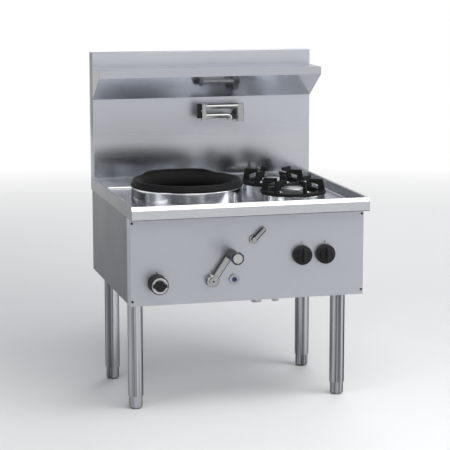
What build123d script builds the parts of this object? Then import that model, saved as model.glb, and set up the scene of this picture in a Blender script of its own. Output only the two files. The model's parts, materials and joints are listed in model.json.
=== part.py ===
from build123d import *
import math
import os

os.makedirs("parts", exist_ok=True)

# Free-standing wok range with a recessed worktop, a tall splashback and a swing tap.
# Lengths are in millimetres. The front faces -Y, +X is to the right, +Z is up, the floor
# is z = 0, and the origin is the middle of the whole footprint.

# Overall sizes
range_width = 900
hob_depth = 800
worktop_height = 800
overall_height = 1300
hob_overhang = 55
handle_out = 120

# Sheet metal
sheet = 2
sheet_bend = 6
flange_width = 16

# Legs and feet
leg_inset = 52
front_leg_setback = 208
rear_leg_inset = 140
leg_radius = 28.5
leg_wall = 2.5
leg_plug_height = 16
leg_flange_reach = 15.5
leg_flange_thickness = 4
foot_radius = 25
foot_height = 50
foot_bevel = 7
stem_radius = 6
stem_length = 70
running_gap = 0.05
leg_bolt_radius = 4
leg_bolt_out = 8.5
leg_bolt_count = 4
leg_bolt_first_angle = 45
leg_bolt_head_radius = 6.5
leg_bolt_head_height = 5.3
leg_bolt_hole_gap = 0.3
leg_bolt_past_rail = 6

# Cabinet
cabinet_height = 375
cabinet_side_gap = 2
front_return = 45
rail_width = 110
rail_sheet = 3
rail_rise = 15
screw_inset = 9
screw_low_rise = 18
screw_high_drop = 28
screw_radius = 2.5
screw_head_radius = 4.5
screw_head_height = 2.6
screw_head_round = 1.5
screw_length = 14
screw_hole_gap = 0.2

# Worktop
apron_height = 50
recess_depth = 38
rim_width = 10
front_rim = 12
front_bevel_depth = 9
front_bevel_height = 15
front_roll = 3.5
ledge_depth = 84
tray_corner = 12

# Splashback and shelf
splash_depth = 60
splash_roll = 3
shelf_reach = 147
shelf_drop_from_top = 60
shelf_lip = 30
shelf_foot_drop = 124

# Wok burner
wok_x = -167
wok_inset = 466
wok_collar_radius = 210
wok_collar_height = 60
wok_collar_wall = 3
wok_collar_seat = 12
chamber_depth = 172
chamber_floor_gap = 2
chamber_lip = 17
chamber_lip_gap = 2
deck_hole_gap = 2
liner_gap = 8
liner_lip = 8
liner_floor_gap = 22
burner_plate_margin = 6
burner_plate_thickness = 6
burner_head_radius = 75
burner_head_height = 74
burner_head_dome = 10
burner_tube_radius = 16
burner_tube_drop = 30
burner_tube_spacing = 42
burner_ports = 24
burner_port_radius = 2.5
pilot_gap = 7
pilot_radius = 6
pilot_height = 70
pilot_tip_radius = 2

# Wok ring, with its lip raised at the back
ring_overhang = 3
ring_edge = 2
ring_flange_height = 10
ring_height = 26
ring_rim_inset = 11
ring_hole_radius = 142
ring_hole_drop = 36
ring_casting = 10
ring_skirt_gap = 2
ring_skirt_wall = 8
ring_skirt_drop = 32
ring_lip_rise = 11
ring_lip_width = 7
ring_lip_half_angle = 47
ring_lip_ramp_length = 50

# Side burners
side_x = 236
rear_burner_inset = 264
trivet_gap = 16
drum_radius = 121
drum_height = 25
drum_wall = 3
drum_seat = 21
bowl_gap = 2
bowl_lip = 8
bowl_hole_gap = 4
bowl_depth = 46
bowl_floor_radius = 45
bowl_heel_inset = 8
bowl_heel_rise = 8
bowl_hole_radius = 22
body_neck_radius = 18
body_neck_drop = 38
body_flange_radius = 38
body_flange_thickness = 4
body_head_radius = 42
body_head_height = 72
body_cup_radius = 32
body_cup_depth = 10
body_ports = 20
body_port_radius = 1.5
body_port_drop = 5
body_port_start = 4
cap_radius = 45
cap_height = 14
cap_dome = 2
cap_spigot_gap = 0.5
cap_spigot_drop = 6
trivet_overhang = 4
trivet_ring_height = 12
trivet_locator_gap = 1
trivet_locator_wall = 4
trivet_locator_drop = 6
fin_count = 6
fin_first_angle = 38
fin_thickness = 8
fin_tip_radius = 62
fin_shoulder_inset = 12
fin_foot_inset = 3
fin_height = 43
fin_tip_height = 12
fin_heel_drop = 22

# Controls: the low row is set out from the panel's bottom edge, the others from its top edge
wok_knob_x = -348
knee_lever_x = -141
igniter_x = -56
low_row_rise = 83
left_knob_x = 204
right_knob_x = 294
side_knob_drop = 173
water_lever_x = 18
water_lever_drop = 105

# Gas supply
valve_size = 34
valve_length = 64
valve_bore_depth = 34
spindle_radius = 5
spindle_hole_gap = 1
manifold_radius = 13.2
manifold_wall = 2.6
manifold_past_valve = 20
riser_radius = 10
gas_inlet_x = 113.7
inlet_setback = 95
inlet_drop = 15.5
inlet_straight = 42
inlet_knee = 28
pipe_radius = 6
pipe_wall = 1
pipe_bend = 15
jet_radius = 8
jet_height = 12
wok_pipe_drop = 26
side_pipe_rise = 36

# Water supply and swing tap
water_inlet_x = 41.7
union_across = 35
union_height = 26
union_bore = 9.3
union_bore_depth = 14
water_pipe_radius = 8
water_run_x = 66
water_pipe_hole_gap = 1.5
water_knee_drop = 52.5
water_side_run = 40
water_top_rise = 34
tap_x = 141
tap_drop = 76
tap_out = 50
tap_body_radius = 15
tap_body_bottom = 20
tap_body_height = 50
tap_nose = 17
tap_nose_radius = 12
tap_inlet_radius = 10
tap_flange_radius = 26
tap_flange_thickness = 6
tap_stub = 8
tap_pin_radius = 7
tap_pin_length = 24
upper_tube_rise = 42
tube_radius = 10.5
tube_wall = 1.5
upper_arm_reach = 148.5
upper_hub_radius = 14
hub_half_height = 11
elbow_radius = 12
lower_tube_rise = 5
elbow_bottom_drop = 17
lower_arm_reach = 107.5
lower_outlet_drop = 20
paddle_lift = 8
paddle_width = 16
paddle_height = 59
paddle_depth = 13
paddle_boss_radius = 5
paddle_gap = 1

# Wok knob
knob_clearance = 1
wok_knob_radius = 34.5
wok_knob_depth = 52
wok_knob_edge = 2
wok_face_radius = 32
wok_face_thickness = 2
wok_grip_radius = 21
wok_grip_depth = 11
wok_wing_depth = 9
wok_grip_length = 56
wok_grip_width = 18
wok_grip_round = 1.5
knob_socket_depth = 20

# Side burner knobs
side_skirt_radius = 36.5
side_skirt_depth = 19
side_body_radius = 24
side_body_depth = 13
side_body_taper = 3
side_ridge_depth = 24
side_ridge_width = 14
side_ridge_length = 58
side_ridge_round = 2

# Knee lever
lever_flange_radius = 24
lever_flange_thickness = 8
lever_shaft_radius = 8
lever_hub_radius = 23.5
lever_hub_proud = 2
lever_boss_radius = 14
lever_boss_depth = 2
lever_groove_radius = 17.5
lever_groove_depth = 1.5
lever_screw_radius = 3.5
lever_screw_depth = 1.5
lever_arm_out = 12
lever_shaft_out = 20
lever_arm_thickness = 10
lever_arm_width = 26
lever_arm_bevel = 3
lever_handle_dx = 67
lever_handle_dz = 99
handle_radius = 20
handle_cap_across = 46
handle_cap_sides = 8
handle_cap_depth = 12
handle_cap_bevel = 3

# Water lever
water_flange_radius = 17
water_flange_thickness = 7
water_hub_radius = 9
water_hub_depth = 9
water_arm_width = 18
water_arm_length = 50
water_arm_thickness = 5
water_arm_angle = 45

# Push-button igniter
bezel_radius = 20
bezel_depth = 6
bezel_bevel = 1.5
igniter_radius = 14
igniter_length = 40
igniter_wall = 2.5
button_radius = 9
button_gap = 0.3
button_proud = 3
button_length = 18
button_collar_thickness = 3

# Planes and levels that follow from the sizes above
lever_reach = handle_out - hob_overhang
overall_depth = hob_depth + lever_reach
back_y = overall_depth / 2
hob_front_y = back_y - hob_depth
half_width = range_width / 2
cabinet_bottom = worktop_height - cabinet_height
panel_y = hob_front_y + hob_overhang
panel_inside_y = panel_y + sheet
deck_z = worktop_height - recess_depth
cabinet_top = deck_z - sheet
cabinet_back_y = back_y - sheet
panel_half_width = half_width - cabinet_side_gap
side_outer_x = panel_half_width - sheet
side_inner_x = side_outer_x - sheet
rail_top = cabinet_bottom + rail_rise + rail_sheet
rail_under = cabinet_bottom + rail_rise
rail_foot = cabinet_bottom + sheet
front_leg_y = hob_front_y + front_leg_setback
rear_leg_y = back_y - rear_leg_inset
leg_x = half_width - leg_inset
leg_places = [(x, y) for y in (front_leg_y, rear_leg_y) for x in (-leg_x, leg_x)]
leg_names = ["front_left", "front_right", "rear_left", "rear_right"]
splash_y = back_y - splash_depth
splash_bottom = worktop_height
wok_y = back_y - wok_inset
chamber_radius = wok_collar_radius - wok_collar_wall - chamber_lip_gap - chamber_lip
trivet_outer_radius = drum_radius + trivet_overhang
rear_burner_y = back_y - rear_burner_inset
front_burner_y = rear_burner_y - 2 * trivet_outer_radius - trivet_gap
side_burners = {"front": front_burner_y, "rear": rear_burner_y}
drum_inner = drum_radius - drum_wall
lip_radius = drum_inner - bowl_gap
bowl_throat = lip_radius - bowl_lip
low_row_z = cabinet_bottom + low_row_rise
side_knob_x = (left_knob_x, right_knob_x)
side_knob_z = cabinet_top - side_knob_drop
water_lever_z = cabinet_top - water_lever_drop
valve_back_y = panel_inside_y + valve_length
manifold_y = valve_back_y + valve_size / 2
inlet_y = hob_front_y + inlet_setback
inlet_z = cabinet_bottom - inlet_drop
water_run_y = splash_y + (splash_depth + sheet) / 2 - water_pipe_radius / 2
tap_y = splash_y - tap_out
tap_z = overall_height - shelf_drop_from_top - shelf_foot_drop - tap_drop
elbow_x = tap_x - upper_arm_reach
upper_tube_z = tap_z + upper_tube_rise
lower_tube_z = tap_z + lower_tube_rise

UPRIGHT = (Align.CENTER, Align.CENTER, Align.MIN)
CORNER = (Align.MIN, Align.MIN, Align.MIN)


def rod(x, y, z, radius, height):
    """Upright cylinder standing on the point x, y, z."""
    return Pos(x, y, z) * Cylinder(radius, height, align=UPRIGHT)


def rod_y(x, y, z, radius, length):
    """Cylinder that starts at x, y, z and runs towards +Y."""
    return Pos(x, y, z) * Rot(-90, 0, 0) * Cylinder(radius, length, align=UPRIGHT)


def rod_x(x, y, z, radius, length):
    """Cylinder that starts at x, y, z and runs towards +X."""
    return Pos(x, y, z) * Rot(0, 90, 0) * Cylinder(radius, length, align=UPRIGHT)


def block(x, y, z):
    """Box between two limits on each axis."""
    size = (x[1] - x[0], y[1] - y[0], z[1] - z[0])
    return Pos(x[0], y[0], z[0]) * Box(*size, align=CORNER)


def cube(x, y, z, width, length, height):
    """Box centred on the point x, y, z."""
    return Pos(x, y, z) * Box(width, length, height)


def spun(points, x, y):
    """Solid of revolution about the upright line through x, y, from radius and level pairs."""
    return Pos(x, y, 0) * revolve(Plane.XZ * Polygon(*points, align=None), Axis.Z)


def tube(points, radius, bend, wall):
    """Round pipe along straight runs joined by bends."""
    path = FilletPolyline(*points, radius=bend)
    start = Plane(origin=path @ 0, z_dir=path % 0)
    outer = sweep(start * Circle(radius), path=path)
    inner = sweep(start * Circle(radius - wall), path=path)
    return outer - inner


def ridge(x, y, z, along, length, width, depth, rounding):
    """Round-ended bar that stands out towards -Y from x, y, z, its long side along a direction."""
    face = Plane(origin=(x, y, z), x_dir=along, z_dir=(0, -1, 0))
    bar = extrude(face * SlotOverall(length, width), depth)
    front = bar.faces().sort_by(Axis.Y)[0]
    return fillet(front.edges(), rounding)


nodes = {}

# ---- Legs and adjustable feet ----
leg_top = rail_under
leg_flange_z = leg_top - leg_flange_thickness
leg_flange_radius = leg_radius + leg_flange_reach
leg_bolt_circle = leg_radius + leg_bolt_out
bolt_angles = [leg_bolt_first_angle + 360 / leg_bolt_count * i for i in range(leg_bolt_count)]
bolt_offsets = [
    (leg_bolt_circle * math.cos(math.radians(a)), leg_bolt_circle * math.sin(math.radians(a)))
    for a in bolt_angles
]


def leg(x, y):
    """Round tube with a bored plug at the bottom and a bolted flange at the top."""
    body = rod(x, y, foot_height, leg_radius, leg_top - foot_height)
    body += rod(x, y, leg_flange_z, leg_flange_radius, leg_flange_thickness)
    plug_top = foot_height + leg_plug_height
    body -= rod(x, y, plug_top, leg_radius - leg_wall, leg_top - plug_top)
    body -= rod(x, y, foot_height, stem_radius + running_gap, leg_plug_height)
    for dx, dy in bolt_offsets:
        hole = leg_bolt_radius + leg_bolt_hole_gap
        body -= rod(x + dx, y + dy, leg_flange_z, hole, leg_flange_thickness)
    return body


def foot(x, y):
    """Solid foot with a bevelled sole and a long stem."""
    points = [
        (0, 0),
        (foot_radius - foot_bevel, 0),
        (foot_radius, foot_bevel),
        (foot_radius, foot_height),
        (stem_radius, foot_height),
        (stem_radius, foot_height + stem_length),
        (0, foot_height + stem_length),
    ]
    return spun(points, x, y)


def leg_bolt(x, y):
    """Hexagon bolt pushed up through the leg's flange into the rail."""
    head = RegularPolygon(leg_bolt_head_radius, 6, major_radius=False)
    body = Pos(x, y, leg_flange_z - leg_bolt_head_height) * extrude(head, leg_bolt_head_height)
    shank = leg_flange_thickness + rail_sheet + leg_bolt_past_rail
    return body + rod(x, y, leg_flange_z, leg_bolt_radius, shank)


nodes["legs"] = [leg(x, y) for x, y in leg_places]
for name, (x, y) in zip(leg_names, leg_places):
    nodes["foot_" + name] = [foot(x, y)]
nodes["leg_bolts"] = [leg_bolt(x + dx, y + dy) for x, y in leg_places for dx, dy in bolt_offsets]

# ---- Cabinet: leg rails, side pans, back and wrapped front panel ----


def leg_rail(y):
    """Cross channel between the side pans that a pair of legs is bolted to."""
    across = (-side_inner_x, side_inner_x)
    body = block(across, (y - rail_width / 2, y + rail_width / 2), (rail_foot, rail_top))
    inner = rail_width / 2 - rail_sheet
    body -= block(across, (y - inner, y + inner), (rail_foot, rail_under))
    for x in (-leg_x, leg_x):
        for dx, dy in bolt_offsets:
            hole = leg_bolt_radius + leg_bolt_hole_gap
            body -= rod(x + dx, y + dy, rail_under, hole, rail_sheet)
    return body


def side_pan():
    """Right-hand side: one sheet with a flange turned in along all four edges."""
    along = (panel_inside_y, cabinet_back_y - sheet)
    body = block((side_outer_x - flange_width, side_outer_x), along, (cabinet_bottom, cabinet_top))
    corner = body.edges().filter_by(Axis.Z).sort_by(Axis.Y)[:2].sort_by(Axis.X)[-1]
    body = fillet(corner, sheet_bend)
    inside = (along[0] + sheet, along[1] - sheet)
    hollow = (side_outer_x - flange_width, side_inner_x)
    body -= block(hollow, inside, (cabinet_bottom + sheet, cabinet_top - sheet))
    for z in screw_levels:
        hole = screw_radius + screw_hole_gap
        body -= rod_y(screw_x, panel_inside_y, z, hole, sheet)
    return body


screw_x = panel_half_width - screw_inset
screw_levels = [
    cabinet_bottom + screw_low_rise,
    cabinet_top - screw_high_drop,
]

right_side = side_pan()
nodes["leg_rails"] = [leg_rail(front_leg_y), leg_rail(rear_leg_y)]
nodes["side_panel_right"] = [right_side]
nodes["side_panel_left"] = [mirror(right_side, Plane.YZ)]

back_panel = block(
    (-side_outer_x, side_outer_x),
    (cabinet_back_y - flange_width, cabinet_back_y),
    (cabinet_bottom, worktop_height - sheet),
)
back_panel -= block(
    (-side_outer_x, side_outer_x),
    (cabinet_back_y - flange_width, cabinet_back_y - sheet),
    (cabinet_bottom, worktop_height - 2 * sheet),
)
nodes["back_panel"] = [back_panel]

front_panel = block(
    (-panel_half_width, panel_half_width),
    (panel_y, panel_y + front_return),
    (cabinet_bottom, cabinet_top),
)
front_panel = fillet(front_panel.edges().filter_by(Axis.Z).sort_by(Axis.Y)[:2], sheet_bend)
front_hollow = block(
    (-side_outer_x, side_outer_x),
    (panel_inside_y, panel_y + front_return),
    (cabinet_bottom, cabinet_top),
)
front_hollow = fillet(front_hollow.edges().filter_by(Axis.Z).sort_by(Axis.Y)[:2], sheet_bend - sheet)
front_panel -= front_hollow
panel_holes = [
    (wok_knob_x, low_row_z, spindle_radius + spindle_hole_gap),
    (knee_lever_x, low_row_z, lever_shaft_radius + spindle_hole_gap),
    (igniter_x, low_row_z, igniter_radius + button_gap),
    (side_knob_x[0], side_knob_z, spindle_radius + spindle_hole_gap),
    (side_knob_x[1], side_knob_z, spindle_radius + spindle_hole_gap),
    (water_lever_x, water_lever_z, spindle_radius + spindle_hole_gap),
]
screw_places = [(x, z) for x in (-screw_x, screw_x) for z in screw_levels]
for x, z in screw_places:
    panel_holes.append((x, z, screw_radius + screw_hole_gap))
for x, z, radius in panel_holes:
    front_panel -= rod_y(x, panel_y, z, radius, sheet)
nodes["front_panel"] = [front_panel]


def panel_screw(x, z):
    """Domed screw that holds the front panel to a side pan."""
    head = rod_y(x, panel_y - screw_head_height, z, screw_head_radius, screw_head_height)
    head = fillet(head.edges().sort_by(Axis.Y)[0], screw_head_round)
    return head + rod_y(x, panel_y, z, screw_radius, screw_length)


nodes["panel_screws"] = [panel_screw(x, z) for x, z in screw_places]

# ---- Worktop: one folded sheet, recessed, with a bevelled front edge ----


def apron_box(inset):
    """Outline of the worktop, drawn in by the given amount on every side and at the top."""
    x = half_width - inset
    levels = (worktop_height - apron_height, worktop_height - inset)
    body = block((-x, x), (hob_front_y + inset, back_y - inset), levels)
    front_top = body.edges().filter_by(Axis.X).sort_by(Axis.Z)[-2:].sort_by(Axis.Y)[0]
    front_face = body.faces().sort_by(Axis.Y)[0]
    body = chamfer(front_top, front_bevel_height, front_bevel_depth, reference=front_face)
    return body


def tray_box(grow):
    """Recess in the worktop, made larger by the given amount all round and below."""
    x = half_width - rim_width + grow
    front = hob_front_y + front_rim - grow
    back = back_y - ledge_depth + grow
    body = block((-x, x), (front, back), (deck_z - grow, worktop_height))
    body = fillet(body.edges().filter_by(Axis.Z), tray_corner + grow)
    return fillet(body.faces().sort_by(Axis.Z)[0].edges(), sheet_bend + grow)


worktop = apron_box(0)
bevel_low = worktop_height - front_bevel_height - sheet
bevel_edges = worktop.edges().filter_by(Axis.X).filter_by_position(
    Axis.Z, bevel_low, worktop_height + sheet
).sort_by(Axis.Y)[:2]
worktop = fillet(bevel_edges, front_roll)
worktop -= apron_box(sheet)
worktop += tray_box(sheet)
worktop -= tray_box(0)
chamber_hole = chamber_radius + deck_hole_gap
worktop -= rod(wok_x, wok_y, deck_z - sheet, chamber_hole, sheet)
for y in side_burners.values():
    worktop -= rod(side_x, y, deck_z - sheet, bowl_throat + bowl_hole_gap, sheet)
pipe_hole = water_pipe_radius + water_pipe_hole_gap
worktop -= rod(water_run_x, water_run_y, worktop_height - sheet, pipe_hole, sheet)
nodes["worktop"] = [worktop]

# ---- Splashback box, its back cover and the sloped shelf ----
splash = block(
    (-half_width, half_width),
    (splash_y, back_y - sheet),
    (splash_bottom, overall_height),
)
splash_front = splash.faces().sort_by(Axis.Y)[0]
splash = fillet(splash_front.edges().filter_by(Axis.Z), splash_roll)
splash -= block(
    (sheet - half_width, half_width - sheet),
    (splash_y + sheet, back_y - sheet),
    (splash_bottom + sheet, overall_height - sheet),
)
splash -= rod(water_run_x, water_run_y, splash_bottom, pipe_hole, sheet)
splash -= rod_y(tap_x, splash_y, tap_z, tap_inlet_radius + spindle_hole_gap, sheet)
nodes["splashback"] = [splash]
nodes["splashback_cover"] = [
    block((-half_width, half_width), (back_y - sheet, back_y), (splash_bottom, overall_height))
]

shelf_top = overall_height - shelf_drop_from_top
shelf_front_y = splash_y - shelf_reach
shelf_slope = (shelf_foot_drop - shelf_lip) / shelf_reach
slope_rise = sheet * math.hypot(1, shelf_slope)
shelf_inner_lip = shelf_top - shelf_lip + slope_rise - shelf_slope * sheet
shelf_outline = Polygon(
    (splash_y, shelf_top),
    (shelf_front_y, shelf_top),
    (shelf_front_y, shelf_top - shelf_lip),
    (splash_y, shelf_top - shelf_foot_drop),
    align=None,
)
shelf_inside = Polygon(
    (splash_y, shelf_top - sheet),
    (shelf_front_y + sheet, shelf_top - sheet),
    (shelf_front_y + sheet, shelf_inner_lip),
    (splash_y, shelf_top - shelf_foot_drop + slope_rise),
    align=None,
)
shelf = extrude(Plane.YZ.offset(-half_width) * shelf_outline, range_width)
shelf -= extrude(Plane.YZ.offset(sheet - half_width) * shelf_inside, range_width - 2 * sheet)
nodes["shelf"] = [shelf]

# ---- Wok burner: collar, double-skinned chamber, burner, pilot ----
collar_top = deck_z + wok_collar_height
collar_inner = wok_collar_radius - wok_collar_wall
seat_inner = wok_collar_radius - wok_collar_seat
nodes["wok_collar"] = [
    spun(
        [
            (collar_inner, deck_z),
            (wok_collar_radius, deck_z),
            (wok_collar_radius, collar_top),
            (seat_inner, collar_top),
            (seat_inner, collar_top - wok_collar_wall),
            (collar_inner, collar_top - wok_collar_wall),
        ],
        wok_x,
        wok_y,
    )
]
chamber_floor = deck_z - chamber_depth
chamber_inner = chamber_radius - sheet
chamber_floor_hole = burner_tube_spacing + burner_tube_radius + chamber_floor_gap
nodes["wok_chamber"] = [
    spun(
        [
            (chamber_floor_hole, chamber_floor),
            (chamber_radius, chamber_floor),
            (chamber_radius, deck_z),
            (chamber_radius + chamber_lip, deck_z),
            (chamber_radius + chamber_lip, deck_z + sheet),
            (chamber_inner, deck_z + sheet),
            (chamber_inner, chamber_floor + sheet),
            (chamber_floor_hole, chamber_floor + sheet),
        ],
        wok_x,
        wok_y,
    )
]
liner_radius = chamber_inner - liner_gap
liner_base = deck_z + sheet
liner_bottom = chamber_floor + liner_floor_gap
liner_lip_radius = chamber_radius + liner_lip
nodes["wok_liner"] = [
    spun(
        [
            (liner_radius - sheet, liner_bottom),
            (liner_radius, liner_bottom),
            (liner_radius, liner_base),
            (liner_lip_radius, liner_base),
            (liner_lip_radius, liner_base + sheet),
            (liner_radius - sheet, liner_base + sheet),
        ],
        wok_x,
        wok_y,
    )
]
plate_z = chamber_floor + sheet
head_z = plate_z + burner_plate_thickness
head_top = head_z + burner_head_height
tube_bottom = chamber_floor - burner_tube_drop
pilot_offset = burner_head_radius + pilot_gap + pilot_radius
burner_plate_radius = pilot_offset + pilot_radius + burner_plate_margin
burner_mouths = [wok_x, wok_x + burner_tube_spacing]
wok_burner = rod(wok_x, wok_y, plate_z, burner_plate_radius, burner_plate_thickness)
head = rod(wok_x, wok_y, head_z, burner_head_radius, burner_head_height)
wok_burner += chamfer(head.edges().sort_by(Axis.Z)[-1], burner_head_dome)
for x in burner_mouths:
    wok_burner += rod(x, wok_y, tube_bottom, burner_tube_radius, plate_z - tube_bottom)
port_start = head_top - burner_head_dome * 3 / 2
port_length = burner_head_dome * 2
for i in range(burner_ports):
    for radius in (burner_head_radius - burner_head_dome * 2, burner_head_radius / 2):
        place = Pos(wok_x, wok_y, port_start) * Rot(0, 0, 360 / burner_ports * i)
        wok_burner -= place * rod(radius, 0, 0, burner_port_radius, port_length)
nodes["wok_burner"] = [wok_burner]
pilot_y = wok_y - pilot_offset
pilot = rod(wok_x, pilot_y, head_z, pilot_radius, pilot_height)
pilot += rod(wok_x, pilot_y, head_z + pilot_height, pilot_tip_radius, pilot_radius * 2)
nodes["wok_pilot"] = [pilot]

# ---- Cast wok ring ----
ring_outer = wok_collar_radius + ring_overhang
ring_top = collar_top + ring_height
rim_outer = ring_outer - ring_rim_inset + ring_edge * 2
rim_inner = ring_outer - ring_rim_inset - ring_edge * 2
skirt_outer = seat_inner - ring_skirt_gap
skirt_inner = skirt_outer - ring_skirt_wall
funnel_slope = ring_hole_drop / (rim_inner - ring_hole_radius)
funnel_under = ring_top - ring_hole_drop - ring_casting
skirt_ceiling = funnel_under + funnel_slope * (skirt_inner - ring_hole_radius)
ring_profile = [
    (ring_hole_radius, ring_top - ring_hole_drop),
    (ring_hole_radius, funnel_under),
    (skirt_inner, skirt_ceiling),
    (skirt_inner, collar_top - ring_skirt_drop),
    (skirt_outer, collar_top - ring_skirt_drop),
    (skirt_outer, collar_top),
    (ring_outer - ring_edge, collar_top),
    (ring_outer, collar_top + ring_edge),
    (ring_outer, collar_top + ring_flange_height - ring_edge),
    (ring_outer - ring_edge * 2, collar_top + ring_flange_height),
    (rim_outer, ring_top - ring_edge),
    (rim_outer - ring_edge, ring_top),
    (rim_inner, ring_top),
]
wok_ring = spun(ring_profile, wok_x, wok_y)
lip_top = ring_top + ring_lip_rise
lip_outer = rim_outer - ring_edge
lip_root = ring_top - ring_edge
lip = rod(wok_x, wok_y, lip_root, lip_outer, lip_top - lip_root)
lip -= rod(wok_x, wok_y, lip_root, lip_outer - ring_lip_width, lip_top - lip_root)
ramp_tilt = math.degrees(math.atan2(ring_lip_rise, ring_lip_ramp_length))
for side in (-1, 1):
    place = Pos(wok_x, wok_y, ring_top) * Rot(0, 0, 90 + side * ring_lip_half_angle)
    cutter = Box(ring_outer * 3, ring_outer * 3, ring_outer, align=UPRIGHT)
    lip -= place * Rot(-side * ramp_tilt, 0, 0) * cutter
nodes["wok_ring"] = [wok_ring + lip]

# ---- Side burners: drum, bowl, burner body, cap and finned trivet ----
drum_top = deck_z + drum_height
seat_radius = drum_radius - drum_seat
bowl_heel_radius = bowl_throat - bowl_heel_inset
bowl_floor = deck_z - bowl_depth
flange_z = bowl_floor + sheet
body_top = flange_z + body_flange_thickness + body_head_height
cup_floor = body_top - body_cup_depth
drum_profile = [
    (drum_inner, deck_z),
    (drum_radius, deck_z),
    (drum_radius, drum_top),
    (seat_radius, drum_top),
    (seat_radius, drum_top - sheet),
    (drum_inner, drum_top - sheet),
]
bowl_profile = [
    (bowl_hole_radius, bowl_floor),
    (bowl_floor_radius, bowl_floor),
    (bowl_heel_radius, bowl_floor + bowl_heel_rise),
    (bowl_throat, deck_z),
    (lip_radius, deck_z),
    (lip_radius, deck_z + sheet),
    (bowl_throat - sheet, deck_z + sheet),
    (bowl_heel_radius - sheet, bowl_floor + bowl_heel_rise + sheet),
    (bowl_floor_radius, flange_z),
    (bowl_hole_radius, flange_z),
]
body_profile = [
    (0, flange_z - body_neck_drop),
    (body_neck_radius, flange_z - body_neck_drop),
    (body_neck_radius, flange_z),
    (body_flange_radius, flange_z),
    (body_flange_radius, flange_z + body_flange_thickness),
    (body_head_radius, flange_z + body_flange_thickness * 2),
    (body_head_radius, body_top),
    (body_cup_radius, body_top),
    (body_cup_radius, cup_floor),
    (0, cup_floor),
]
cap_spigot = body_cup_radius - cap_spigot_gap
cap_profile = [
    (0, body_top - cap_spigot_drop),
    (cap_spigot, body_top - cap_spigot_drop),
    (cap_spigot, body_top),
    (cap_radius, body_top),
    (cap_radius, body_top + cap_height - cap_dome * 2),
    (cap_radius - cap_dome, body_top + cap_height - cap_dome),
    (cap_spigot / 2, body_top + cap_height),
    (0, body_top + cap_height),
]
locator_outer = seat_radius - trivet_locator_gap
trivet_inner_radius = locator_outer - trivet_locator_wall
trivet_top = drum_top + trivet_ring_height
trivet_profile = [
    (trivet_inner_radius, drum_top - trivet_locator_drop),
    (locator_outer, drum_top - trivet_locator_drop),
    (locator_outer, drum_top),
    (trivet_outer_radius - ring_edge, drum_top),
    (trivet_outer_radius, drum_top + ring_edge),
    (trivet_outer_radius, trivet_top - ring_edge),
    (trivet_outer_radius - ring_edge, trivet_top),
    (trivet_inner_radius, trivet_top),
]
fin_top = trivet_top + fin_height
fin_shoulder_radius = trivet_outer_radius - fin_shoulder_inset
fin_profile = [
    (trivet_inner_radius, drum_top),
    (trivet_outer_radius - fin_foot_inset, drum_top),
    (trivet_outer_radius - fin_foot_inset, trivet_top),
    (fin_shoulder_radius, fin_top),
    (fin_tip_radius, fin_top),
    (fin_tip_radius, fin_top - fin_tip_height),
    (trivet_inner_radius, fin_top - fin_heel_drop),
]


def burner_body(y):
    """Cast burner body with a ring of flame ports round its head."""
    body = spun(body_profile, side_x, y)
    start = body_cup_radius - body_port_start
    for i in range(body_ports):
        place = Pos(side_x, y, body_top - body_port_drop) * Rot(0, 0, 360 / body_ports * i)
        body -= place * rod_x(start, 0, 0, body_port_radius, body_head_radius)
    return body


def trivet(y):
    """Cast ring that carries upright fins."""
    body = spun(trivet_profile, side_x, y)
    fin = extrude(Plane.XZ * Polygon(*fin_profile, align=None), fin_thickness / 2, both=True)
    for i in range(fin_count):
        body += Pos(side_x, y, 0) * Rot(0, 0, fin_first_angle + 360 / fin_count * i) * fin
    return body


nodes["burner_drums"] = [spun(drum_profile, side_x, y) for y in side_burners.values()]
nodes["burner_bowls"] = [spun(bowl_profile, side_x, y) for y in side_burners.values()]
nodes["burner_bodies"] = [burner_body(y) for y in side_burners.values()]
for name, y in side_burners.items():
    nodes["burner_cap_" + name] = [spun(cap_profile, side_x, y)]
    nodes["trivet_" + name] = [trivet(y)]

# ---- Gas supply: valves, manifold, inlet, pipes and jets ----
spindle_bore = spindle_radius + running_gap
half_valve = valve_size / 2
valve_y = panel_inside_y + valve_length / 2


def gas_valve(x, z, bore):
    """Square valve body behind the panel, bored for its spindle."""
    body = cube(x, valve_y, z, valve_size, valve_length, valve_size)
    return body - rod_y(x, panel_inside_y, z, bore, valve_bore_depth)


nodes["gas_valves"] = [
    gas_valve(wok_knob_x, low_row_z, spindle_bore),
    gas_valve(knee_lever_x, low_row_z, lever_shaft_radius + running_gap),
    gas_valve(side_knob_x[0], side_knob_z, spindle_bore),
    gas_valve(side_knob_x[1], side_knob_z, spindle_bore),
]
manifold_left = wok_knob_x - half_valve - manifold_past_valve
manifold_right = right_knob_x + half_valve + manifold_past_valve
manifold = rod_x(manifold_left, manifold_y, low_row_z, manifold_radius, manifold_right - manifold_left)
for x in (wok_knob_x, knee_lever_x, gas_inlet_x, side_knob_x[0], side_knob_x[1]):
    manifold += cube(x, manifold_y, low_row_z, valve_size, valve_size, valve_size)
for x in side_knob_x:
    manifold += rod(x, manifold_y, low_row_z, riser_radius, side_knob_z - low_row_z)
    manifold += cube(x, manifold_y, side_knob_z, valve_size, valve_size, valve_size)
bore_length = manifold_right - manifold_left - 2 * manifold_wall
manifold_bore = manifold_radius - manifold_wall
manifold -= rod_x(manifold_left + manifold_wall, manifold_y, low_row_z, manifold_bore, bore_length)
manifold -= rod(gas_inlet_x, manifold_y, low_row_z - half_valve, manifold_bore, half_valve)
nodes["gas_manifold"] = [manifold]
nodes["gas_inlet_pipe"] = [
    tube(
        [
            (gas_inlet_x, inlet_y, inlet_z),
            (gas_inlet_x, inlet_y, inlet_z + inlet_straight),
            (gas_inlet_x, manifold_y, inlet_z + inlet_straight + inlet_knee),
            (gas_inlet_x, manifold_y, low_row_z - half_valve),
        ],
        manifold_radius,
        manifold_radius + pipe_wall,
        manifold_wall,
    )
]
wok_jet_z = tube_bottom - jet_height
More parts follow.
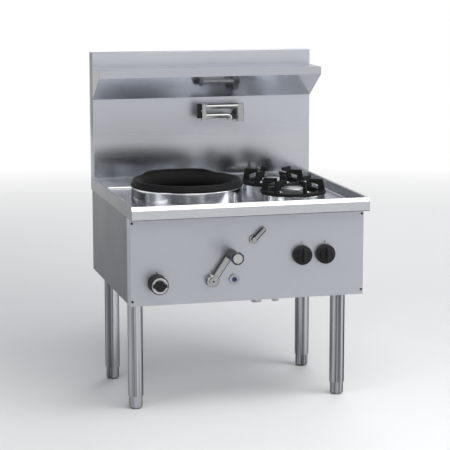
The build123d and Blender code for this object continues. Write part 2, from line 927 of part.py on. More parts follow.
side_jet_z = flange_z - body_neck_drop - jet_height
wok_pipe_z = low_row_z - half_valve - wok_pipe_drop
side_pipe_z = side_knob_z + half_valve + side_pipe_rise
gas_runs = []
for x, mouth_x in zip((wok_knob_x, knee_lever_x), burner_mouths):
    gas_runs.append(
        [
            (x, valve_y, low_row_z - half_valve),
            (x, valve_y, wok_pipe_z),
            (mouth_x, wok_y, wok_pipe_z),
            (mouth_x, wok_y, wok_jet_z),
        ]
    )
for x, y in zip(side_knob_x, side_burners.values()):
    gas_runs.append(
        [
            (x, valve_y, side_knob_z + half_valve),
            (x, valve_y, side_pipe_z),
            (side_x, y, side_pipe_z),
            (side_x, y, side_jet_z),
        ]
    )
nodes["gas_pipes"] = [tube(run, pipe_radius, pipe_bend, pipe_wall) for run in gas_runs]
nodes["gas_jets"] = [rod(x, wok_y, wok_jet_z, jet_radius, jet_height) for x in burner_mouths] + [
    rod(side_x, y, side_jet_z, jet_radius, jet_height) for y in side_burners.values()
]

# ---- Water supply: inlet union, valve and pipe up to the tap ----
union = RegularPolygon(union_across / 2, 6, major_radius=False)
union_top = inlet_z + union_height
water_inlet = Pos(water_inlet_x, inlet_y, inlet_z) * extrude(union, union_height)
water_inlet -= rod(water_inlet_x, inlet_y, inlet_z, union_bore, union_bore_depth)
pipe_bore = water_pipe_radius - pipe_wall
water_inlet -= rod(water_inlet_x, inlet_y, inlet_z, pipe_bore, union_height)
water_valve_bottom = water_lever_z - half_valve
water_elbow_z = water_valve_bottom - water_side_run
water_knee_z = water_elbow_z - water_knee_drop
water_inlet += tube(
    [
        (water_inlet_x, inlet_y, union_top),
        (water_inlet_x, inlet_y, water_knee_z),
        (water_lever_x, valve_y, water_elbow_z),
        (water_lever_x, valve_y, water_valve_bottom),
    ],
    water_pipe_radius,
    pipe_bend,
    pipe_wall,
)
nodes["water_inlet"] = [water_inlet]
nodes["water_valve"] = [gas_valve(water_lever_x, water_lever_z, spindle_bore)]
water_run_z = water_lever_z + half_valve + water_top_rise
tap_joint_y = splash_y + sheet + tap_stub
nodes["tap_pipe"] = [
    tube(
        [
            (water_lever_x, valve_y, water_lever_z + half_valve),
            (water_lever_x, valve_y, water_run_z),
            (water_run_x, valve_y + water_side_run, water_run_z),
            (water_run_x, water_run_y, water_run_z),
            (water_run_x, water_run_y, tap_z),
            (tap_x, water_run_y, tap_z),
            (tap_x, tap_joint_y, tap_z),
        ],
        water_pipe_radius,
        water_pipe_radius + pipe_wall,
        pipe_wall,
    )
]

# ---- Swing tap: wall body, two arms and a paddle ----
body_bottom = tap_z - tap_body_bottom
body_crown = body_bottom + tap_body_height
tap_body = rod(tap_x, tap_y, body_bottom, tap_body_radius, tap_body_height)
tap_body += rod_y(tap_x, tap_y, tap_z, tap_inlet_radius, tap_joint_y - tap_y)
flange_y = splash_y - tap_flange_thickness
tap_body += rod_y(tap_x, flange_y, tap_z, tap_flange_radius, tap_flange_thickness)
tap_body += rod_y(tap_x, tap_y - tap_nose, tap_z, tap_nose_radius, tap_nose)
tap_bore = tap_pin_radius + running_gap
tap_body -= rod(tap_x, tap_y, body_crown - tap_pin_length, tap_bore, tap_pin_length)
nodes["tap_body"] = [tap_body]

upper_hub_top = upper_tube_z + hub_half_height
elbow_split = upper_tube_z - hub_half_height
elbow_base = lower_tube_z - elbow_bottom_drop
upper_arm = rod(tap_x, tap_y, body_crown, upper_hub_radius, upper_hub_top - body_crown)
upper_arm += rod_x(elbow_x, tap_y, upper_tube_z, tube_radius, upper_arm_reach)
upper_arm += rod(tap_x, tap_y, body_crown - tap_pin_length, tap_pin_radius, tap_pin_length)
upper_arm += rod(elbow_x, tap_y, elbow_split, elbow_radius, upper_hub_top - elbow_split)
elbow_pin_length = tap_pin_length - hub_half_height
upper_arm -= rod(elbow_x, tap_y, elbow_split, tap_bore, elbow_pin_length)
nodes["tap_upper_arm"] = [upper_arm]

lower_end = elbow_x + lower_arm_reach
lower_arm = rod(elbow_x, tap_y, elbow_base, elbow_radius, elbow_split - elbow_base)
pin_top = elbow_split + elbow_pin_length - running_gap
lower_arm += rod(elbow_x, tap_y, elbow_base, tap_pin_radius, pin_top - elbow_base)
spout = tube(
    [
        (elbow_x, tap_y, lower_tube_z),
        (lower_end, tap_y, lower_tube_z),
        (lower_end, tap_y, lower_tube_z - lower_outlet_drop),
    ],
    tube_radius,
    tube_radius + tube_wall,
    tube_wall,
)
lower_arm += spout
paddle_z = elbow_base + paddle_lift + paddle_height / 2
boss_end = elbow_x - elbow_radius - paddle_gap
lower_arm += rod_x(boss_end, tap_y, paddle_z, paddle_boss_radius, paddle_gap + elbow_radius)
nodes["tap_lower_arm"] = [lower_arm]
paddle_face = Plane(origin=(boss_end, tap_y, paddle_z), x_dir=(0, 0, 1), z_dir=(-1, 0, 0))
paddle = extrude(paddle_face * SlotOverall(paddle_height, paddle_depth), paddle_width)
nodes["tap_paddle"] = [paddle]

# ---- Controls on the front panel ----
spindle_end_y = panel_inside_y + valve_bore_depth - running_gap


def spindle(x, z, radius, out):
    """Round shaft from inside the valve to the given distance out from the panel."""
    return rod_y(x, panel_y - out, z, radius, spindle_end_y - panel_y + out)


# Wok knob: body, bright face and dark grip on one spindle.
knob_front = knob_clearance + wok_knob_depth
face_front = knob_front + wok_face_thickness
socket_out = knob_clearance + knob_socket_depth
nodes["wok_spindle"] = [spindle(wok_knob_x, low_row_z, spindle_radius, socket_out)]
knob = rod_y(wok_knob_x, panel_y - knob_front, low_row_z, wok_knob_radius, wok_knob_depth)
knob = fillet(knob.edges().sort_by(Axis.Y)[-1], wok_knob_edge)
knob -= rod_y(wok_knob_x, panel_y - socket_out, low_row_z, spindle_radius, knob_socket_depth)
nodes["wok_knob"] = [knob]
nodes["wok_knob_face"] = [
    rod_y(wok_knob_x, panel_y - face_front, low_row_z, wok_face_radius, wok_face_thickness)
]
grip_y = panel_y - face_front - wok_grip_depth
grip = rod_y(wok_knob_x, grip_y, low_row_z, wok_grip_radius, wok_grip_depth)
grip = fillet(grip.edges().sort_by(Axis.Y)[0], wok_grip_round)
grip += ridge(
    wok_knob_x,
    panel_y - face_front,
    low_row_z,
    (1, 0, 0),
    wok_grip_length,
    wok_grip_width,
    wok_wing_depth,
    wok_grip_round,
)
nodes["wok_knob_grip"] = [grip]


def side_knob(x):
    """Skirted knob with a raised upright ridge."""
    skirt_y = panel_y - knob_clearance - side_skirt_depth
    body = rod_y(x, skirt_y, side_knob_z, side_skirt_radius, side_skirt_depth)
    body = fillet(body.edges().sort_by(Axis.Y)[0], side_ridge_round)
    barrel_out = knob_clearance + side_skirt_depth + side_body_depth
    root = Plane(origin=(x, skirt_y, side_knob_z), z_dir=(0, -1, 0))
    tip = root.offset(side_body_depth)
    barrel = loft([root * Circle(side_body_radius), tip * Circle(side_body_radius - side_body_taper)])
    body += barrel
    body += ridge(
        x,
        skirt_y,
        side_knob_z,
        (0, 0, 1),
        side_ridge_length,
        side_ridge_width,
        side_ridge_depth,
        side_ridge_round,
    )
    socket_depth = side_body_depth + side_skirt_depth
    return body - rod_y(x, panel_y - barrel_out + sheet, side_knob_z, spindle_radius, socket_depth)


for name, x in zip(("left", "right"), side_knob_x):
    socket = knob_clearance + side_skirt_depth + side_body_depth - sheet
    nodes["side_spindle_" + name] = [spindle(x, side_knob_z, spindle_radius, socket)]
    nodes["side_knob_" + name] = [side_knob(x)]

# Knee lever: fixed flange, shaft, bevelled arm, round handle and eight-sided cap.
arm_front = lever_arm_out + lever_arm_thickness
handle_x = knee_lever_x + lever_handle_dx
handle_z = low_row_z + lever_handle_dz
arm_length = math.hypot(lever_handle_dx, lever_handle_dz)

def shaft_flange(x, z, radius, thickness, bore):
    """Bevelled round flange on the panel, bored for a shaft."""
    body = rod_y(x, panel_y - thickness, z, radius, thickness)
    body = chamfer(body.edges().sort_by(Axis.Y)[0], bezel_bevel)
    return body - rod_y(x, panel_y - thickness, z, bore, thickness)


nodes["lever_flange"] = [
    shaft_flange(
        knee_lever_x,
        low_row_z,
        lever_flange_radius,
        lever_flange_thickness,
        lever_shaft_radius + running_gap,
    )
]
nodes["lever_shaft"] = [spindle(knee_lever_x, low_row_z, lever_shaft_radius, lever_shaft_out)]
hub_back = lever_flange_thickness + button_gap
hub_front = arm_front + lever_hub_proud
lever = rod_y(knee_lever_x, panel_y - hub_front, low_row_z, lever_hub_radius, hub_front - hub_back)
lever = chamfer(lever.edges().sort_by(Axis.Y)[0], bezel_bevel)
arm_plane = Plane(
    origin=(knee_lever_x, panel_y - lever_arm_out, low_row_z),
    x_dir=(lever_handle_dx, 0, lever_handle_dz),
    z_dir=(0, -1, 0),
)
arm_shape = Pos(arm_length / 2, 0) * SlotCenterToCenter(arm_length, lever_arm_width)
arm = extrude(arm_plane * arm_shape, lever_arm_thickness)
arm = chamfer(arm.faces().sort_by(Axis.Y)[0].edges(), lever_arm_bevel)
lever += arm
lever -= rod_y(knee_lever_x, panel_y - hub_front, low_row_z, lever_groove_radius, lever_groove_depth)
boss_y = panel_y - hub_front - lever_boss_depth
boss_length = lever_boss_depth + lever_groove_depth
lever += rod_y(knee_lever_x, boss_y, low_row_z, lever_boss_radius, boss_length)
socket_depth = lever_shaft_out - hub_back
lever -= rod_y(knee_lever_x, panel_y - lever_shaft_out, low_row_z, lever_shaft_radius, socket_depth)
nodes["knee_lever"] = [lever]
screw_y = boss_y - lever_screw_depth
nodes["lever_screw"] = [
    rod_y(knee_lever_x, screw_y, low_row_z, lever_screw_radius, lever_screw_depth)
]
handle_length = handle_out - handle_cap_depth - arm_front
handle = rod_y(handle_x, panel_y - arm_front - handle_length, handle_z, handle_radius, handle_length)
nodes["lever_handle"] = [handle]
cap_plane = Plane(
    origin=(handle_x, panel_y - handle_out + handle_cap_depth, handle_z),
    x_dir=(1, 0, 0),
    z_dir=(0, -1, 0),
)
cap_shape = RegularPolygon(handle_cap_across / 2, handle_cap_sides, major_radius=False)
cap_shape = Rot(0, 0, 180 / handle_cap_sides) * cap_shape
handle_cap = extrude(cap_plane * cap_shape, handle_cap_depth)
nodes["lever_handle_cap"] = [
    chamfer(handle_cap.faces().sort_by(Axis.Y)[0].edges(), handle_cap_bevel)
]

# Water lever: fixed flange, and a flat arm on its spindle.
nodes["water_flange"] = [
    shaft_flange(
        water_lever_x,
        water_lever_z,
        water_flange_radius,
        water_flange_thickness,
        spindle_bore,
    )
]
water_hub_front = water_flange_thickness + button_gap + water_hub_depth
water_hub_y = panel_y - water_hub_front
nodes["water_spindle"] = [spindle(water_lever_x, water_lever_z, spindle_radius, water_hub_front)]
water_lever = rod_y(water_lever_x, water_hub_y, water_lever_z, water_hub_radius, water_hub_depth)
flat_plane = Plane(
    origin=(water_lever_x, water_hub_y + water_arm_thickness, water_lever_z),
    x_dir=(math.cos(math.radians(water_arm_angle)), 0, math.sin(math.radians(water_arm_angle))),
    z_dir=(0, -1, 0),
)
flat = Pos(water_arm_length / 2, 0) * SlotCenterToCenter(water_arm_length, water_arm_width)
water_lever += extrude(flat_plane * flat, water_arm_thickness)
water_lever -= rod_y(water_lever_x, water_hub_y, water_lever_z, spindle_radius, water_hub_depth)
nodes["water_lever"] = [water_lever]

# Push-button igniter: bezel and barrel in one piece, and a sprung button.
igniter = rod_y(igniter_x, panel_y - bezel_depth, low_row_z, bezel_radius, bezel_depth)
igniter = chamfer(igniter.edges().sort_by(Axis.Y)[0], bezel_bevel)
igniter += rod_y(igniter_x, panel_y, low_row_z, igniter_radius, igniter_length)
button_bore = button_radius + button_gap
igniter -= rod_y(igniter_x, panel_y - bezel_depth, low_row_z, button_bore, bezel_depth)
chamber_length = igniter_length - igniter_wall
igniter -= rod_y(igniter_x, panel_y, low_row_z, igniter_radius - igniter_wall, chamber_length)
nodes["igniter_body"] = [igniter]
button_y = panel_y - bezel_depth - button_proud
button = rod_y(igniter_x, button_y, low_row_z, button_radius, button_length)
button = fillet(button.edges().sort_by(Axis.Y)[0], bezel_bevel)
collar_radius = igniter_radius - igniter_wall - button_gap
button += rod_y(igniter_x, panel_y, low_row_z, collar_radius, button_collar_thickness)
nodes["igniter_button"] = [button]

# ---- One file for each node ----
for name, solids in nodes.items():
    shape = solids[0] if len(solids) == 1 else Compound(children=solids)
    shape.label = name
    export_step(shape, "parts/" + name + ".step")
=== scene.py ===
import json
import math

import bmesh
import bpy
import numpy as np
from mathutils import Matrix, Vector


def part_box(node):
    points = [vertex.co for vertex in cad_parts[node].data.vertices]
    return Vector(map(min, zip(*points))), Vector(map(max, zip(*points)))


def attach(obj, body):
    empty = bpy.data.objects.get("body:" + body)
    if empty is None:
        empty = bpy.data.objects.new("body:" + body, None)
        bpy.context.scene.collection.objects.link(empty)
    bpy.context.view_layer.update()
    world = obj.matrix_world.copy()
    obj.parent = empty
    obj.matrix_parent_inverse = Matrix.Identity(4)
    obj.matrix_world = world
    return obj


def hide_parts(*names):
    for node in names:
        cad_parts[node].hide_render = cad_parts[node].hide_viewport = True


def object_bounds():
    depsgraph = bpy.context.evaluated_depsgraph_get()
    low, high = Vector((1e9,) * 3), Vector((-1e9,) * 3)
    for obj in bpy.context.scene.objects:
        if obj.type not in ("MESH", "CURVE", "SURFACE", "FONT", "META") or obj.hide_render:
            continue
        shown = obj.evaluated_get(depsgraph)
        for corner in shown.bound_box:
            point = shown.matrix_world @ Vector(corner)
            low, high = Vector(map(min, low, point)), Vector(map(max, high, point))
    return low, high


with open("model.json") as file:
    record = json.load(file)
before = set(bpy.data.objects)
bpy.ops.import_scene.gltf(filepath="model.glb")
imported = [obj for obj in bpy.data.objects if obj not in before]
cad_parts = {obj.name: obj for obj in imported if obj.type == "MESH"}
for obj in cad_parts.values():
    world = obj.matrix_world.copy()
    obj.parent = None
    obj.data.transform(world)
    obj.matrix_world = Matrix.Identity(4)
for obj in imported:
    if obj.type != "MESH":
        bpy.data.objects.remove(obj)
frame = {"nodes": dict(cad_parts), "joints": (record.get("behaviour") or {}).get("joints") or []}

cad_box = [list(corner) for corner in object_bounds()]
scene = bpy.context.scene

# ---- Studio ----
# A pale floor, a long-lens camera a little to the left of the range and above its worktop,
# and four large soft lamps. The long lens keeps the range's uprights nearly parallel.
camera_place = (-1.64006, -6.13525, 1.75481)
camera_yaw = math.radians(14.9)
camera_pitch = math.radians(-9.82)
camera_roll = math.radians(-0.04)
focal_pixels, frame_pixels = 1670.51, 450.0
sensor_width = 36.0
camera_data = bpy.data.cameras.new("camera")
camera_data.sensor_width = sensor_width
camera_data.lens = focal_pixels * sensor_width / frame_pixels
camera = bpy.data.objects.new("camera", camera_data)
forward = Vector((
    math.sin(camera_yaw) * math.cos(camera_pitch),
    math.cos(camera_yaw) * math.cos(camera_pitch),
    math.sin(camera_pitch),
))
turn = forward.to_track_quat("-Z", "Y").to_matrix() @ Matrix.Rotation(camera_roll, 3, "Z")
camera.matrix_world = Matrix.Translation(camera_place) @ turn.to_4x4()
scene.collection.objects.link(camera)
scene.camera = camera
scene.view_settings.view_transform = "Standard"

floor_reach = 90.0
floor_mesh = bpy.data.meshes.new("floor")
floor_mesh.from_pydata(
    [(-floor_reach, -floor_reach, 0), (floor_reach, -floor_reach, 0),
     (floor_reach, floor_reach, 0), (-floor_reach, floor_reach, 0)],
    [], [(0, 1, 2, 3)],
)
floor = bpy.data.objects.new("floor", floor_mesh)
scene.collection.objects.link(floor)


class Value:
    """A number or colour on a surface. Arithmetic on it adds Math nodes to its network."""

    def __init__(self, network, socket):
        self.network, self.socket = network, socket

    def math(self, operation, *values):
        return self.network.node("ShaderNodeMath", {"operation": operation}, *values)

    def __add__(self, other):
        return self.math("ADD", self, other)

    def __sub__(self, other):
        return self.math("SUBTRACT", self, other)

    def __rsub__(self, other):
        return self.math("SUBTRACT", other, self)

    def __mul__(self, other):
        return self.math("MULTIPLY", self, other)

    def __abs__(self):
        return self.math("ABSOLUTE", self)

    __radd__ = __add__
    __rmul__ = __mul__


class Network:
    """The nodes of a material or of the room around the range, added by node()."""

    def __init__(self, owner):
        owner.use_nodes = True
        self.tree = owner.node_tree

    def plug(self, socket, value):
        """Links a Value to a socket, or sets the socket to a number or colour."""
        if isinstance(value, Value):
            self.tree.links.new(value.socket, socket)
        elif socket.type == "RGBA" and len(value) == 3:
            socket.default_value = (*value, 1.0)
        else:
            socket.default_value = value

    def node(self, kind, settings, *values, out=0, **named):
        """Adds a node: its settings first, then the values or links of its sockets, in order
        or by name. A None leaves a socket as it is."""
        made = self.tree.nodes.new(kind)
        for key, value in settings.items():
            setattr(made, key, value)
        for socket, value in zip(made.inputs, values):
            if value is not None:
                self.plug(socket, value)
        for key, value in named.items():
            self.plug(made.inputs[key.replace("_", " ")], value)
        return Value(self, made.outputs[out])

    def place(self, scale=(1, 1, 1), shift=(0, 0, 0)):
        """Object coordinates, stretched and then shifted."""
        where = self.node("ShaderNodeTexCoord", {}, out=3)
        return self.node("ShaderNodeMapping", {}, where, Location=shift, Scale=scale)

    def part(self, vector, axis):
        """One coordinate of a vector: 0 is x, 1 is y and 2 is z."""
        return self.node("ShaderNodeSeparateXYZ", {}, vector, out=axis)

    def length(self, vector):
        """How far a point is from the zero of its coordinates."""
        return self.node("ShaderNodeVectorMath", {"operation": "LENGTH"}, vector, out=1)

    def noise(self, where, scale, detail=3.0, rough=0.5):
        return self.node(
            "ShaderNodeTexNoise", {}, Vector=where, Scale=scale, Detail=detail, Roughness=rough
        )

    def span(self, value, low, high, to_low, to_high):
        """Carries a value's range low to high on to another range, held at its ends."""
        return self.node(
            "ShaderNodeMapRange", {}, Value=value, From_Min=low, From_Max=high,
            To_Min=to_low, To_Max=to_high,
        )

    def blend(self, amount, first, second):
        """Mixes two colours. Their sockets come after five for numbers and vectors."""
        colours = [None] * 5 + [first, second]
        return self.node("ShaderNodeMix", {"data_type": "RGBA"}, amount, *colours, out=2)


class Finish(Network):
    """A material with one Principled shader."""

    def __init__(self, name, **numbers):
        self.material = bpy.data.materials.new(name)
        super().__init__(self.material)
        self.shader = self.tree.nodes["Principled BSDF"]
        for socket, value in numbers.items():
            self.set(socket.replace("_", " ").title().replace("Ior", "IOR"), value)

    def set(self, socket, value):
        """Gives one of the shader's own sockets a number, a colour or a Value."""
        self.plug(self.shader.inputs[socket], value)

    def bump(self, height, distance, strength):
        self.set("Normal", self.node(
            "ShaderNodeBump", {}, Height=height, Distance=distance, Strength=strength
        ))


def mottled(name, scale, first, second, **numbers):
    """A finish whose colour wanders between two tones: the larger the scale, the finer."""
    finish = Finish(name, **numbers)
    patches = finish.noise(finish.place(), scale)
    finish.set("Base Color", finish.blend(patches, first, second))
    return finish


floor_finish = mottled(
    "studio_floor", 0.6, (0.80, 0.805, 0.81), (0.84, 0.845, 0.85), roughness=0.85
)
floor_mesh.materials.append(floor_finish.material)

# Far from the range the floor runs out into plain white, for the camera and for whatever
# mirrors it. Near the range it is lit by the lamps and takes the range's shadow.
far_start, far_end = 2.0, 6.5
reach = floor_finish.length(floor_finish.place())
far = floor_finish.span(reach, far_start, far_end, 0.0, 1.0)
camera_ray = floor_finish.node("ShaderNodeLightPath", {}, out=0)
glossy_ray = floor_finish.node("ShaderNodeLightPath", {}, out=3)
through_ray = floor_finish.node("ShaderNodeLightPath", {}, out=6)
white = floor_finish.node("ShaderNodeEmission", {}, Color=(1.0, 1.0, 1.0), Strength=1.0)
lit = Value(floor_finish, floor_finish.shader.outputs[0])
shown = floor_finish.node(
    "ShaderNodeMixShader", {}, far * (camera_ray + glossy_ray + through_ray), lit, white
)
floor_finish.plug(floor_finish.tree.nodes["Material Output"].inputs[0], shown)

# The room is pale at the level of the horizon and dimmer overhead.
pale, dim = (0.93, 0.95, 1.0), (0.20, 0.205, 0.22)
pale_below, dim_above = 0.10, 0.55
room_strength = 0.75
scene.world = bpy.data.worlds.new("studio")
room = Network(scene.world)
height = room.part(room.node("ShaderNodeTexCoord", {}, out=0), 2)
background = room.tree.nodes["Background"].inputs
overhead = room.span(height, pale_below, dim_above, 0.0, 1.0)
room.plug(background["Color"], room.blend(overhead, pale, dim))
room.plug(background["Strength"], room_strength)


def lamp(name, place, target, size, power, colour):
    """A large oblong soft lamp that faces a point."""
    data = bpy.data.lights.new(name, "AREA")
    data.shape = "RECTANGLE"
    data.size, data.size_y = size
    data.energy = power
    data.color = colour
    lit = bpy.data.objects.new(name, data)
    aim = (Vector(target) - Vector(place)).to_track_quat("-Z", "Y").to_matrix().to_4x4()
    lit.matrix_world = Matrix.Translation(place) @ aim
    scene.collection.objects.link(lit)


middle = (0.0, 0.0, 0.75)
floor_behind = (1.0, 1.5, 0.0)
lamp("key", (0.9, -2.4, 3.9), middle, (4.8, 3.8), 190, (1.0, 0.99, 0.97))
lamp("rear", (1.8, 3.4, 3.4), floor_behind, (2.6, 1.8), 60, (0.98, 0.99, 1.0))
lamp("fill", (3.4, -1.6, 1.8), middle, (2.0, 2.0), 30, (0.96, 0.98, 1.0))
lamp("left", (-3.4, -2.2, 2.6), middle, (1.6, 2.4), 25, (0.97, 0.98, 1.0))


# ---- Satin stainless sheet ----
# The cabinet, worktop, splashback and shelf are folded from stainless sheet and welded or
# screwed together. A fine grain runs along each panel, and a faint cloudiness in the polish
# breaks up reflections.
def dress(finish, *names):
    """Puts a finish on CAD nodes."""
    for name in names:
        node = frame["nodes"][name]
        if not len(node.material_slots):
            node.data.materials.append(finish.material)
        for slot in node.material_slots:
            slot.material = finish.material


sheet_steel = (0.46, 0.474, 0.512)
# Painted shade: the side panels and the end faces of the wide sheets take this darker tone, as
# the sides face away from the light.
side_shade_steel = (0.115, 0.118, 0.128)
shadow_steel = (0.06, 0.062, 0.066)
half_width = cad_box[1][0]
end_start, end_full = half_width - 0.0012, half_width - 0.0004
# A band at the foot of the worktop's apron is painted dark up to this level: a painted shadow
# line under the apron's edge.
shade_line_level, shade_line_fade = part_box("worktop")[0].z + 0.0017, 0.0006
haze_start, haze_full = 0.94, 1.01


def satin_sheet(name, grain, tone=sheet_steel, rough=0.3, painted_shade_ends=False, painted_shade_line=False, haze=0.0):
    """Grain is the stretch of the scratch pattern on each axis: small along the grain. With
    painted_shade_ends, the two end faces of a sheet as wide as the range are painted dark:
    painted shade on the sides. With hem, the sheet is painted dark below a level just above the
    apron's lower
    edge: a painted shadow line along its foot. With haze, the polish is rougher by that much on
    the splashback's upper part than at its foot."""
    sheet = Finish(name, metallic=1.0)
    scratch = sheet.noise(sheet.place(scale=grain), 1.0, detail=4.0, rough=0.65)
    cloud = sheet.noise(sheet.place(), 3.2, detail=3.0)
    smear = sheet.noise(sheet.place(scale=(0.6, 0.6, 2.4)), 5.0, detail=2.0)
    deep = tuple(0.93 * part for part in tone)
    colour = sheet.blend(scratch * 0.6 + smear * 0.4, deep, tone)
    if painted_shade_ends:
        # The end faces are painted dark: painted shade.
        sideways = abs(sheet.part(sheet.place(), 0))
        end = sheet.span(sideways, end_start, end_full, 0.0, 1.0)
        colour = sheet.blend(end, colour, side_shade_steel)
    if painted_shade_line:
        # Painted shadow line along the foot of the apron.
        level = sheet.part(sheet.place(), 2)
        above = sheet.span(level, shade_line_level, shade_line_level + shade_line_fade, 0.0, 1.0)
        colour = sheet.blend(above, shadow_steel, colour)
    polish = sheet.span(cloud * 0.5 + scratch * 0.5, 0.3, 0.7, rough - 0.04, rough + 0.05)
    if haze:
        level = sheet.part(sheet.place(), 2)
        polish = polish + sheet.span(level, haze_start, haze_full, 0.0, haze)
    sheet.set("Base Color", colour)
    sheet.set("Roughness", polish)
    sheet.bump(scratch, 0.00002, 0.15)
    return sheet


across = (4.0, 900.0, 900.0)
lengthwise = (900.0, 4.0, 900.0)
dress(satin_sheet("satin_front", across, rough=0.42), "front_panel", "back_panel", "leg_rails")
# The side panels are painted darker than the front: painted shade.
dress(
    satin_sheet("satin_side", lengthwise, tone=side_shade_steel, rough=0.36),
    "side_panel_left", "side_panel_right",
)
dress(
    satin_sheet(
        "satin_splash", across, tone=(0.52, 0.535, 0.57), rough=0.18, painted_shade_ends=True, haze=0.16
    ),
    "splashback", "splashback_cover",
)
dress(
    satin_sheet(
        "satin_worktop", across, tone=(0.56, 0.575, 0.60), rough=0.26, painted_shade_ends=True, painted_shade_line=True
    ),
    "worktop",
)
dress(satin_sheet("satin_shelf", across, rough=0.14, painted_shade_ends=True), "shelf")

# ---- Legs, feet and fixings ----
# The legs are polished tube, with a flange at the top that is bolted under the cabinet. The
# feet are turned from solid bar and screw in and out. The bolts are plated steel, and the
# screws are painted near black: painted shade of their recesses.
tube_steel = Finish("tube_steel", metallic=1.0, specular_tint=(0.3, 0.3, 0.31))
# Upright bands from dark to light run round each tube in its colour: painted reflections of the
# room, laid on drawn streaks that also vary the polish.
streak_and_painted_reflection = tube_steel.noise(tube_steel.place(scale=(95.0, 95.0, 0.3)), 1.0, detail=1.5)
hairline = tube_steel.noise(tube_steel.place(scale=(900.0, 900.0, 4.0)), 1.0, detail=3.0)
tube_steel.set("Base Color", tube_steel.blend(
    tube_steel.span(streak_and_painted_reflection * 0.85 + hairline * 0.15, 0.40, 0.60, 0.0, 1.0),
    (0.13, 0.134, 0.147), (0.51, 0.52, 0.55),
))
tube_steel.set("Roughness", tube_steel.span(streak_and_painted_reflection, 0.35, 0.65, 0.24, 0.13))
tube_steel.bump(hairline, 0.00003, 0.3)
dress(
    tube_steel, "legs", "foot_front_left", "foot_front_right", "foot_rear_left",
    "foot_rear_right",
)
# The screws' near-black tones are painted shade of the recesses they sit in.
plated_steel, recess_shade_black = (0.30, 0.31, 0.33), (0.02, 0.02, 0.024)
dress(
    mottled(
        "plated_fixings", 400.0, plated_steel, (0.42, 0.43, 0.45), metallic=1.0, roughness=0.35
    ),
    "leg_bolts",
)
# The screw heads are painted near black: painted shade of their recesses.
dress(
    mottled("dark_screws", 400.0, recess_shade_black, (0.05, 0.05, 0.056), metallic=1.0, roughness=0.4),
    "panel_screws", "lever_screw",
)

# ---- Polished collars and bowls ----
# The wok's collar and the side burners' drums are walls of bright steel, spun with a
# turned-in top edge and welded on the worktop. The bowls inside the drums are spun from the
# same steel, and the wok's chamber and its liner from a plainer one.
bright = Finish("bright_steel", metallic=1.0, specular_tint=(0.35, 0.35, 0.36))
ripple = bright.noise(bright.place(), 9.0)
bright.set("Base Color", bright.blend(ripple, (0.84, 0.845, 0.85), (0.94, 0.945, 0.95)))
bright.set("Roughness", bright.span(ripple, 0.3, 0.7, 0.07, 0.15))
bright.bump(bright.noise(bright.place(), 9.0, detail=0.0), 0.0012, 0.12)
dress(bright, "burner_bowls")
dress(
    satin_sheet("chamber_steel", (300.0, 300.0, 6.0), tone=(0.30, 0.29, 0.28), rough=0.4),
    "wok_chamber", "wok_liner",
)


def skin(name, points, finish, body, slot, *replaced):
    """Mesh through a grid of points: each row of the grid is a closed ring, and neighbouring
    rows are joined by quads. Doubled points are merged, and the faces are turned outwards."""
    rows, columns = points.shape[:2]
    index = np.arange(rows * columns).reshape(rows, columns)
    ahead = np.roll(index, -1, axis=1)
    faces = np.stack([index[:-1], index[1:], ahead[1:], ahead[:-1]], axis=-1).reshape(-1, 4)
    mesh = bpy.data.meshes.new(name)
    mesh.from_pydata(points.reshape(-1, 3).tolist(), [], faces.tolist())
    shell = bmesh.new()
    shell.from_mesh(mesh)
    bmesh.ops.remove_doubles(shell, verts=shell.verts, dist=1e-6)
    bmesh.ops.recalc_face_normals(shell, faces=shell.faces)
    shell.to_mesh(mesh)
    shell.free()
    mesh.shade_smooth()
    mesh.materials.append(finish.material)
    piece = bpy.data.objects.new(name, mesh)
    scene.collection.objects.link(piece)
    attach(piece, body)
    if replaced:
        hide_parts(*replaced)
    return piece


crisp_angle = math.radians(35.0)


def sharp_edges(piece):
    """Keeps edges crisp where faces meet at more than the crisp angle."""
    piece.data.set_sharp_from_angle(angle=crisp_angle)


def rounded(corners, radii):
    """Profile through corners, each rounded: a corner's arc is the curve
    (1-t)^2 a + 2t(1-t) corner + t^2 b between points at the radius before and after it."""
    corners = np.asarray(corners, float)
    path = [corners[:1]]
    t = np.linspace(0.0, 1.0, 5)[:, None]
    for before, corner, after, radius in zip(corners, corners[1:], corners[2:], radii):
        a = corner + (before - corner) * min(0.5, radius / np.linalg.norm(before - corner))
        b = corner + (after - corner) * min(0.5, radius / np.linalg.norm(after - corner))
        path.append((1 - t) ** 2 * a + 2 * t * (1 - t) * corner + t ** 2 * b)
    path.append(corners[-1:])
    return np.concatenate(path)


def around(columns):
    """Angles of a closed ring of points."""
    return np.linspace(0.0, 2.0 * math.pi, columns, endpoint=False)[None, :]


def spun(profile, columns, centre):
    """Surface turned about the upright line through centre: each radius and level of the
    profile becomes the ring x = radius cos a, y = radius sin a, z = level."""
    angle = around(columns)
    radius, level = profile[:, :1], profile[:, 1:]
    return np.stack(
        [centre[0] + radius * np.cos(angle), centre[1] + radius * np.sin(angle),
         level + 0.0 * angle],
        axis=-1,
    )


fine_edge, turned_edge = 0.0004, 0.0030
edge_hold = 0.0045


def spun_wall(radius, foot, top, wall, lip):
    """Section of an upright wall whose top edge is turned in by the lip: a closed loop of
    radius and level pairs. Points at the edge hold keep the wall flat beside its rounding."""
    return rounded(
        [(radius - wall, foot), (radius, foot), (radius, foot + edge_hold),
         (radius, top - edge_hold), (radius, top), (radius - edge_hold, top),
         (radius - lip, top), (radius - lip, top - wall), (radius - wall, top - wall),
         (radius - wall, foot)],
        [fine_edge] * 3 + [turned_edge] + [fine_edge] * 4,
    )


